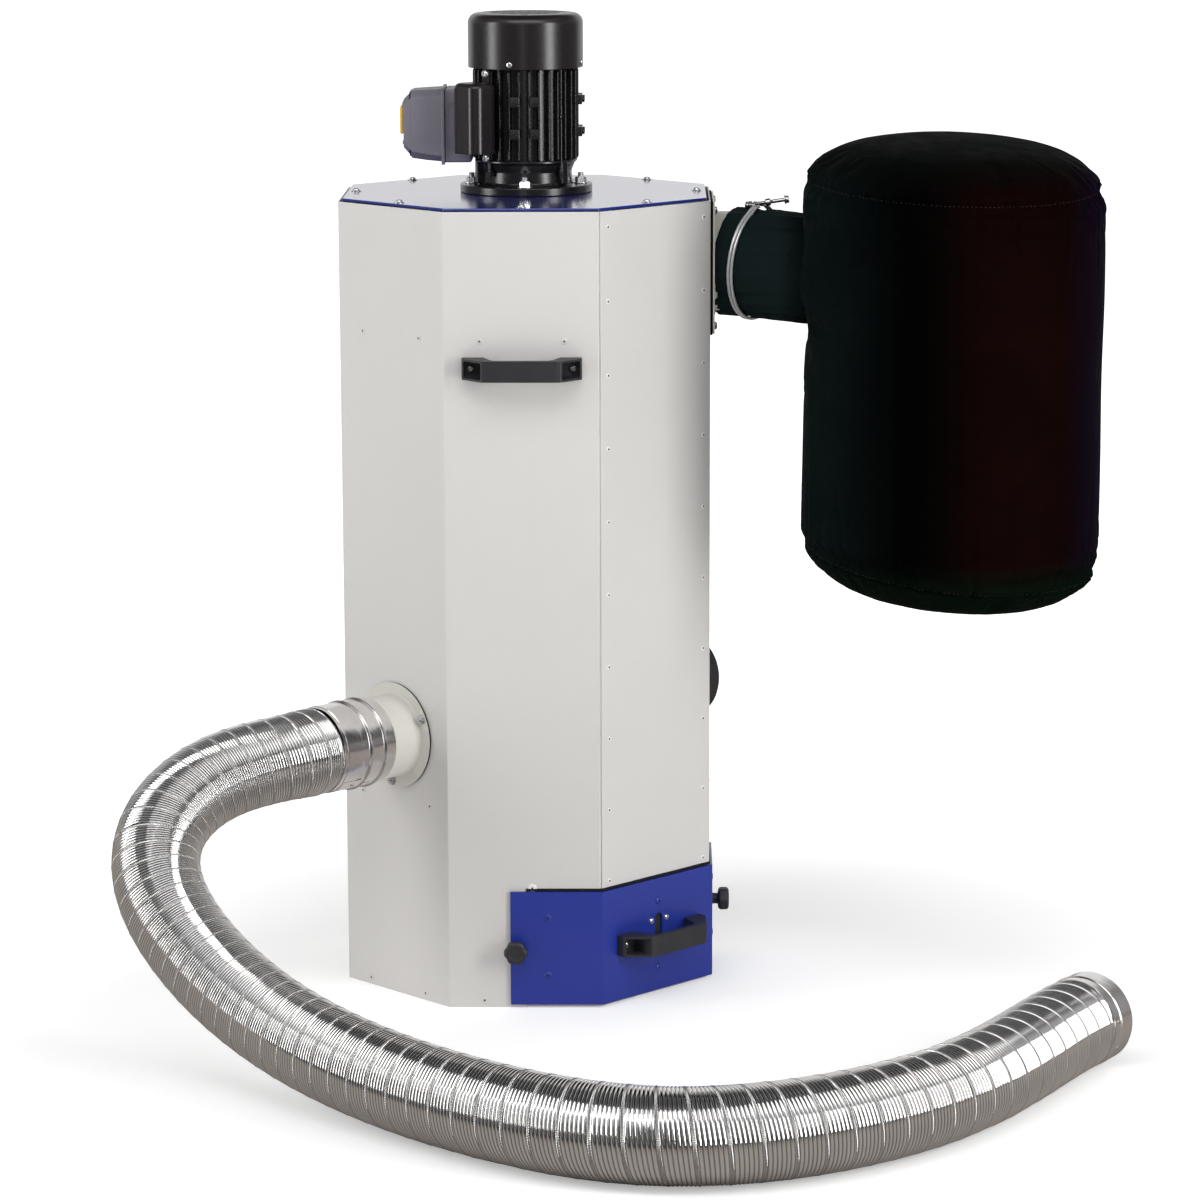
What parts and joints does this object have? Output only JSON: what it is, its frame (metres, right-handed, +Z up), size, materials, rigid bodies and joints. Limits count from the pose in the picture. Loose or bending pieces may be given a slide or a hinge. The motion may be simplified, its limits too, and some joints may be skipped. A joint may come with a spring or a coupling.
{
  "type": "dust collector",
  "caption": "Octagonal floor-standing dust collector with a top fan motor, side filter bag, corrugated suction hose and a pull-out chip bin",
  "frame": {"origin": "centre of the octagonal foot, on the floor", "axes": "+Z up; the front face of the octagon with the handle looks along -Y; the filter bag is on +X; the suction hose leaves the diagonal face between -X and -Y"},
  "size_m": [1.4652, 1.461, 1.473],
  "materials": {
    "cabinet_grey": "satin powder coat",
    "panel_blue": "gloss enamel",
    "motor_black": "gloss enamel on cast metal",
    "black_plastic": "fine grain",
    "box_grey": "fine grain",
    "yellow_plastic": "gloss",
    "green_plastic": "gloss",
    "red_plastic": "gloss",
    "zinc": "zinc plated",
    "steel": "machined",
    "aluminium": "bright foil",
    "galvanised": "galvanised",
    "foam_black": "matt",
    "bag_fabric": "woven",
    "winding": "lacquered copper",
    "flange_cream": "satin powder coat"
  },
  "bodies": {
    "cabinet": {"shell_front_left": "cabinet_grey", "shell_rear_right": "cabinet_grey", "panel_front_right": "cabinet_grey", "panel_rear_left": "cabinet_grey", "base_plate": "cabinet_grey", "top_plate": "panel_blue", "fan_floor_plate": "cabinet_grey", "fan_scroll": "cabinet_grey", "suction_ring": "galvanised", "vortex_tube": "galvanised", "chip_funnel": "cabinet_grey", "inlet_flange": "flange_cream", "inlet_bolt_1": "zinc", "inlet_bolt_2": "zinc", "inlet_bolt_3": "zinc", "rear_inlet_flange": "flange_cream", "outlet_gasket": "foam_black", "outlet_flange": "galvanised", "front_handle": "black_plastic", "front_handle_screw_left": "zinc", "front_handle_screw_right": "zinc", "bin_gasket": "foam_black", "motor_flange": "motor_black", "motor_bolt_1": "zinc", "motor_bolt_2": "zinc", "motor_bolt_3": "zinc", "motor_bolt_4": "zinc", "motor_frame": "motor_black", "motor_rear_shield": "motor_black", "fan_cowl": "motor_black", "stator": "winding", "bearing_lower": "steel", "bearing_upper": "steel", "terminal_box": "box_grey", "switch_box": "box_grey", "switch_bezel": "yellow_plastic", "capacitor_cover": "motor_black", "capacitor": "aluminium"},
    "rotor": {"motor_shaft": "steel", "rotor_core": "steel", "cooling_fan": "black_plastic", "impeller": "steel", "impeller_washer": "zinc"},
    "start_push": {"start_button": "green_plastic"},
    "stop_push": {"stop_button": "red_plastic"},
    "bin": {"bin_front": "panel_blue", "bin_tub": "cabinet_grey", "bin_handle": "black_plastic", "bin_handle_screw_left": "zinc", "bin_handle_screw_right": "zinc"},
    "knob_l": {"knob_left": "black_plastic"},
    "knob_r": {"knob_right": "black_plastic"},
    "hose": {"hose_coupler": "aluminium", "hose_near": "aluminium"},
    "hose_end": {"hose_far": "aluminium", "hose_end_collar": "aluminium"},
    "bag": {"filter_bag": "bag_fabric", "clamp_band": "zinc"},
    "clamp_screw_body": {"clamp_screw": "zinc"},
    "rear_cap": {"rear_inlet_cap": "black_plastic"}
  },
  "joints": [
    {"name": "rotor_spin", "type": "hinge", "parent": "cabinet", "child": "rotor", "pos_m": [0, 0, 1.3], "axis": [0, 0, 1], "continuous": true},
    {"name": "bin_slide", "type": "slide", "parent": "cabinet", "child": "bin", "axis": [0.7071, -0.7071, 0], "range_m": [0, 0.38]},
    {"name": "knob_left_turn", "type": "hinge", "parent": "bin", "child": "knob_l", "pos_m": [-0.014, -0.27764, 0.0915], "axis": [0, -1, 0], "range_deg": [0, 720]},
    {"name": "knob_right_turn", "type": "hinge", "parent": "bin", "child": "knob_r", "pos_m": [0.27764, 0.014, 0.0915], "axis": [1, 0, 0], "range_deg": [0, 720]},
    {"name": "start_press", "type": "slide", "parent": "cabinet", "child": "start_push", "axis": [1, 0, 0], "range_m": [0, 0.003], "stiffness_N_per_m": 400},
    {"name": "stop_press", "type": "slide", "parent": "cabinet", "child": "stop_push", "axis": [1, 0, 0], "range_m": [0, 0.003], "stiffness_N_per_m": 400},
    {"name": "hose_pull", "type": "slide", "parent": "cabinet", "child": "hose", "axis": [-0.7071, -0.7071, 0], "range_m": [0, 0.11]},
    {"name": "hose_swing", "type": "hinge", "parent": "hose", "child": "hose_end", "pos_m": [0.08514, -1.06352, 0.067], "axis": [0, 0, 1], "range_deg": [-15, 12]},
    {"name": "bag_pull", "type": "slide", "parent": "cabinet", "child": "bag", "axis": [0.8672, -0.4979, 0], "range_m": [0, 0.09]},
    {"name": "clamp_screw_turn", "type": "hinge", "parent": "bag", "child": "clamp_screw_body", "pos_m": [0.34422, -0.02323, 1.184], "axis": [0.983, -0.0988, 0.1546], "range_deg": [0, 720]},
    {"name": "rear_cap_pull", "type": "slide", "parent": "cabinet", "child": "rear_cap", "axis": [0.7071, 0.7071, 0], "range_m": [0, 0.05]}
  ]
}
